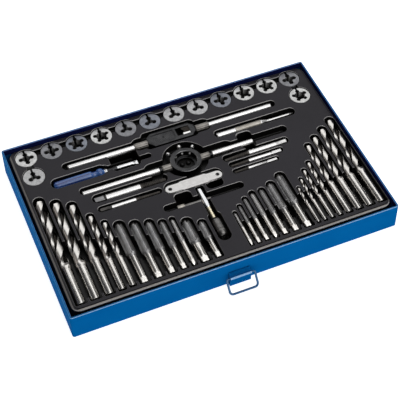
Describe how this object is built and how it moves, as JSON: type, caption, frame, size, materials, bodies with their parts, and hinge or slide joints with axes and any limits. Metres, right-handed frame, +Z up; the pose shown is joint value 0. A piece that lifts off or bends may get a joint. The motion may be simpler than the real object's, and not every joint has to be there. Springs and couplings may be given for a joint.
{
  "type": "tap and die storage drawer",
  "caption": "Shallow folded steel drawer with a drop handle and a moulded insert holding round dies, taps, twist drills, extractors, wrenches and a die stock in fitted pockets.",
  "frame": {"origin": "middle of the drawer's flat underside; the drop handle sticks out in front of the box, so the origin is tied to the underside", "axes": "+X along the front from left to right, +Y from the front with the handle towards the back, +Z up"},
  "size_m": [0.384, 0.2699, 0.035],
  "materials": {
    "blue_paint": "gloss powder coat on folded sheet steel",
    "black_plastic": "fine textured satin moulding",
    "bright_steel": "ground and polished",
    "grey_steel": "dull ground steel",
    "blued_steel": "ground steel with a blue cast",
    "dark_steel": "blackened casting",
    "chrome_plate": "bright plating with knurled ends",
    "blue_plastic": "clear tinted handle"
  },
  "bodies": {
    "drawer": {"drawer_pan": "blue_paint", "handle_bracket": "blue_paint"},
    "bail": {"handle_bail": "blue_paint"},
    "insert": {"tool_insert": "black_plastic"},
    "die_01_body": {"die_01": "bright_steel"},
    "die_02_body": {"die_02": "grey_steel"},
    "die_03_body": {"die_03": "blued_steel"},
    "die_04_body": {"die_04": "bright_steel"},
    "die_05_body": {"die_05": "grey_steel"},
    "die_06_body": {"die_06": "blued_steel"},
    "die_07_body": {"die_07": "bright_steel"},
    "die_08_body": {"die_08": "bright_steel"},
    "die_09_body": {"die_09": "blued_steel"},
    "die_10_body": {"die_10": "bright_steel"},
    "die_11_body": {"die_11": "bright_steel"},
    "die_12_body": {"die_12": "grey_steel"},
    "die_13_body": {"die_13": "bright_steel"},
    "die_14_body": {"die_14": "bright_steel"},
    "drill_left_1_body": {"drill_left_1": "bright_steel"},
    "drill_left_2_body": {"drill_left_2": "bright_steel"},
    "drill_left_3_body": {"drill_left_3": "bright_steel"},
    "drill_left_4_body": {"drill_left_4": "bright_steel"},
    "drill_left_5_body": {"drill_left_5": "bright_steel"},
    "drill_right_1_body": {"drill_right_1": "bright_steel"},
    "drill_right_2_body": {"drill_right_2": "bright_steel"},
    "drill_right_3_body": {"drill_right_3": "bright_steel"},
    "drill_right_4_body": {"drill_right_4": "bright_steel"},
    "drill_right_5_body": {"drill_right_5": "bright_steel"},
    "drill_right_6_body": {"drill_right_6": "bright_steel"},
    "drill_right_7_body": {"drill_right_7": "bright_steel"},
    "drill_right_8_body": {"drill_right_8": "bright_steel"},
    "tap_left_1_body": {"tap_left_1": "grey_steel"},
    "tap_left_2_body": {"tap_left_2": "grey_steel"},
    "tap_left_3_body": {"tap_left_3": "grey_steel"},
    "tap_left_4_body": {"tap_left_4": "grey_steel"},
    "tap_left_5_body": {"tap_left_5": "grey_steel"},
    "tap_left_6_body": {"tap_left_6": "grey_steel"},
    "tap_left_7_body": {"tap_left_7": "grey_steel"},
    "tap_right_1_body": {"tap_right_1": "grey_steel"},
    "tap_right_2_body": {"tap_right_2": "grey_steel"},
    "tap_right_3_body": {"tap_right_3": "grey_steel"},
    "tap_right_4_body": {"tap_right_4": "grey_steel"},
    "tap_right_5_body": {"tap_right_5": "grey_steel"},
    "tap_right_6_body": {"tap_right_6": "grey_steel"},
    "tap_right_7_body": {"tap_right_7": "grey_steel"},
    "extractor_1_body": {"extractor_1": "bright_steel"},
    "extractor_2_body": {"extractor_2": "bright_steel"},
    "extractor_3_body": {"extractor_3": "bright_steel"},
    "extractor_4_body": {"extractor_4": "bright_steel"},
    "extractor_5_body": {"extractor_5": "bright_steel"},
    "centre_punch_body": {"centre_punch": "bright_steel"},
    "screwdriver_body": {"screwdriver": "blue_plastic"},
    "thread_pitch_gauge_body": {"thread_pitch_gauge": "bright_steel"},
    "die_stock_body": {"die_stock": "dark_steel"},
    "tap_wrench": {"tap_wrench_body": "dark_steel"},
    "tap_wrench_turning_handle": {"tap_wrench_handle": "chrome_plate"},
    "tap_wrench_sliding_jaw": {"tap_wrench_jaw": "bright_steel"},
    "tee_wrench": {"tee_wrench_shaft": "chrome_plate"},
    "tee_wrench_turning_chuck": {"tee_wrench_chuck": "dark_steel"},
    "tee_wrench_sliding_bar": {"tee_wrench_bar": "chrome_plate"}
  },
  "joints": [
    {"name": "bail_hinge", "type": "hinge", "parent": "drawer", "child": "bail", "pos_m": [-0.0025, -0.1308, 0.0146], "axis": [-1, 0, 0], "range_deg": [0, 140]},
    {"name": "insert_lift", "type": "slide", "parent": "drawer", "child": "insert", "axis": [0, 0, 1], "range_m": [0, 0.04]},
    {"name": "die_01_lift", "type": "slide", "parent": "insert", "child": "die_01_body", "axis": [0, 0, 1], "range_m": [0, 0.03]},
    {"name": "die_02_lift", "type": "slide", "parent": "insert", "child": "die_02_body", "axis": [0, 0, 1], "range_m": [0, 0.03]},
    {"name": "die_03_lift", "type": "slide", "parent": "insert", "child": "die_03_body", "axis": [0, 0, 1], "range_m": [0, 0.03]},
    {"name": "die_04_lift", "type": "slide", "parent": "insert", "child": "die_04_body", "axis": [0, 0, 1], "range_m": [0, 0.03]},
    {"name": "die_05_lift", "type": "slide", "parent": "insert", "child": "die_05_body", "axis": [0, 0, 1], "range_m": [0, 0.03]},
    {"name": "die_06_lift", "type": "slide", "parent": "insert", "child": "die_06_body", "axis": [0, 0, 1], "range_m": [0, 0.03]},
    {"name": "die_07_lift", "type": "slide", "parent": "insert", "child": "die_07_body", "axis": [0, 0, 1], "range_m": [0, 0.03]},
    {"name": "die_08_lift", "type": "slide", "parent": "insert", "child": "die_08_body", "axis": [0, 0, 1], "range_m": [0, 0.03]},
    {"name": "die_09_lift", "type": "slide", "parent": "insert", "child": "die_09_body", "axis": [0, 0, 1], "range_m": [0, 0.03]},
    {"name": "die_10_lift", "type": "slide", "parent": "insert", "child": "die_10_body", "axis": [0, 0, 1], "range_m": [0, 0.03]},
    {"name": "die_11_lift", "type": "slide", "parent": "insert", "child": "die_11_body", "axis": [0, 0, 1], "range_m": [0, 0.03]},
    {"name": "die_12_lift", "type": "slide", "parent": "insert", "child": "die_12_body", "axis": [0, 0, 1], "range_m": [0, 0.03]},
    {"name": "die_13_lift", "type": "slide", "parent": "insert", "child": "die_13_body", "axis": [0, 0, 1], "range_m": [0, 0.03]},
    {"name": "die_14_lift", "type": "slide", "parent": "insert", "child": "die_14_body", "axis": [0, 0, 1], "range_m": [0, 0.03]},
    {"name": "drill_left_1_lift", "type": "slide", "parent": "insert", "child": "drill_left_1_body", "axis": [0, 0, 1], "range_m": [0, 0.03]},
    {"name": "drill_left_2_lift", "type": "slide", "parent": "insert", "child": "drill_left_2_body", "axis": [0, 0, 1], "range_m": [0, 0.03]},
    {"name": "drill_left_3_lift", "type": "slide", "parent": "insert", "child": "drill_left_3_body", "axis": [0, 0, 1], "range_m": [0, 0.03]},
    {"name": "drill_left_4_lift", "type": "slide", "parent": "insert", "child": "drill_left_4_body", "axis": [0, 0, 1], "range_m": [0, 0.03]},
    {"name": "drill_left_5_lift", "type": "slide", "parent": "insert", "child": "drill_left_5_body", "axis": [0, 0, 1], "range_m": [0, 0.03]},
    {"name": "drill_right_1_lift", "type": "slide", "parent": "insert", "child": "drill_right_1_body", "axis": [0, 0, 1], "range_m": [0, 0.03]},
    {"name": "drill_right_2_lift", "type": "slide", "parent": "insert", "child": "drill_right_2_body", "axis": [0, 0, 1], "range_m": [0, 0.03]},
    {"name": "drill_right_3_lift", "type": "slide", "parent": "insert", "child": "drill_right_3_body", "axis": [0, 0, 1], "range_m": [0, 0.03]},
    {"name": "drill_right_4_lift", "type": "slide", "parent": "insert", "child": "drill_right_4_body", "axis": [0, 0, 1], "range_m": [0, 0.03]},
    {"name": "drill_right_5_lift", "type": "slide", "parent": "insert", "child": "drill_right_5_body", "axis": [0, 0, 1], "range_m": [0, 0.03]},
    {"name": "drill_right_6_lift", "type": "slide", "parent": "insert", "child": "drill_right_6_body", "axis": [0, 0, 1], "range_m": [0, 0.03]},
    {"name": "drill_right_7_lift", "type": "slide", "parent": "insert", "child": "drill_right_7_body", "axis": [0, 0, 1], "range_m": [0, 0.03]},
    {"name": "drill_right_8_lift", "type": "slide", "parent": "insert", "child": "drill_right_8_body", "axis": [0, 0, 1], "range_m": [0, 0.03]},
    {"name": "tap_left_1_lift", "type": "slide", "parent": "insert", "child": "tap_left_1_body", "axis": [0, 0, 1], "range_m": [0, 0.03]},
    {"name": "tap_left_2_lift", "type": "slide", "parent": "insert", "child": "tap_left_2_body", "axis": [0, 0, 1], "range_m": [0, 0.03]},
    {"name": "tap_left_3_lift", "type": "slide", "parent": "insert", "child": "tap_left_3_body", "axis": [0, 0, 1], "range_m": [0, 0.03]},
    {"name": "tap_left_4_lift", "type": "slide", "parent": "insert", "child": "tap_left_4_body", "axis": [0, 0, 1], "range_m": [0, 0.03]},
    {"name": "tap_left_5_lift", "type": "slide", "parent": "insert", "child": "tap_left_5_body", "axis": [0, 0, 1], "range_m": [0, 0.03]},
    {"name": "tap_left_6_lift", "type": "slide", "parent": "insert", "child": "tap_left_6_body", "axis": [0, 0, 1], "range_m": [0, 0.03]},
    {"name": "tap_left_7_lift", "type": "slide", "parent": "insert", "child": "tap_left_7_body", "axis": [0, 0, 1], "range_m": [0, 0.03]},
    {"name": "tap_right_1_lift", "type": "slide", "parent": "insert", "child": "tap_right_1_body", "axis": [0, 0, 1], "range_m": [0, 0.03]},
    {"name": "tap_right_2_lift", "type": "slide", "parent": "insert", "child": "tap_right_2_body", "axis": [0, 0, 1], "range_m": [0, 0.03]},
    {"name": "tap_right_3_lift", "type": "slide", "parent": "insert", "child": "tap_right_3_body", "axis": [0, 0, 1], "range_m": [0, 0.03]},
    {"name": "tap_right_4_lift", "type": "slide", "parent": "insert", "child": "tap_right_4_body", "axis": [0, 0, 1], "range_m": [0, 0.03]},
    {"name": "tap_right_5_lift", "type": "slide", "parent": "insert", "child": "tap_right_5_body", "axis": [0, 0, 1], "range_m": [0, 0.03]},
    {"name": "tap_right_6_lift", "type": "slide", "parent": "insert", "child": "tap_right_6_body", "axis": [0, 0, 1], "range_m": [0, 0.03]},
    {"name": "tap_right_7_lift", "type": "slide", "parent": "insert", "child": "tap_right_7_body", "axis": [0, 0, 1], "range_m": [0, 0.03]},
    {"name": "extractor_1_lift", "type": "slide", "parent": "insert", "child": "extractor_1_body", "axis": [0, 0, 1], "range_m": [0, 0.03]},
    {"name": "extractor_2_lift", "type": "slide", "parent": "insert", "child": "extractor_2_body", "axis": [0, 0, 1], "range_m": [0, 0.03]},
    {"name": "extractor_3_lift", "type": "slide", "parent": "insert", "child": "extractor_3_body", "axis": [0, 0, 1], "range_m": [0, 0.03]},
    {"name": "extractor_4_lift", "type": "slide", "parent": "insert", "child": "extractor_4_body", "axis": [0, 0, 1], "range_m": [0, 0.03]},
    {"name": "extractor_5_lift", "type": "slide", "parent": "insert", "child": "extractor_5_body", "axis": [0, 0, 1], "range_m": [0, 0.03]},
    {"name": "centre_punch_lift", "type": "slide", "parent": "insert", "child": "centre_punch_body", "axis": [0, 0, 1], "range_m": [0, 0.03]},
    {"name": "screwdriver_lift", "type": "slide", "parent": "insert", "child": "screwdriver_body", "axis": [0, 0, 1], "range_m": [0, 0.03]},
    {"name": "thread_pitch_gauge_lift", "type": "slide", "parent": "insert", "child": "thread_pitch_gauge_body", "axis": [0, 0, 1], "range_m": [0, 0.03]},
    {"name": "die_stock_lift", "type": "slide", "parent": "insert", "child": "die_stock_body", "axis": [0, 0, 1], "range_m": [0, 0.03]},
    {"name": "tap_wrench_lift", "type": "slide", "parent": "insert", "child": "tap_wrench", "axis": [0, 0, 1], "range_m": [0, 0.03]},
    {"name": "tap_wrench_handle_turn", "type": "hinge", "parent": "tap_wrench", "child": "tap_wrench_turning_handle", "pos_m": [0.03, 0.079, 0.0248], "axis": [1, 0, 0], "range_deg": [0, 1440]},
    {"name": "tap_wrench_jaw_slide", "type": "slide", "parent": "tap_wrench", "child": "tap_wrench_sliding_jaw", "axis": [-1, 0, 0], "range_m": [0, 0.0051]},
    {"name": "tee_wrench_lift", "type": "slide", "parent": "insert", "child": "tee_wrench", "axis": [0, 0, 1], "range_m": [0, 0.03]},
    {"name": "tee_wrench_chuck_turn", "type": "hinge", "parent": "tee_wrench", "child": "tee_wrench_turning_chuck", "pos_m": [-0.0009, -0.0545, 0.0225], "axis": [0, 1, 0], "range_deg": [0, 720]},
    {"name": "tee_wrench_bar_slide", "type": "slide", "parent": "tee_wrench", "child": "tee_wrench_sliding_bar", "axis": [1, 0, 0], "range_m": [-0.003, 0.018]}
  ],
  "couplings": [
    {"joint": "tap_wrench_jaw_slide", "follows": "tap_wrench_handle_turn", "m_per_rad": 0.00019894}
  ]
}
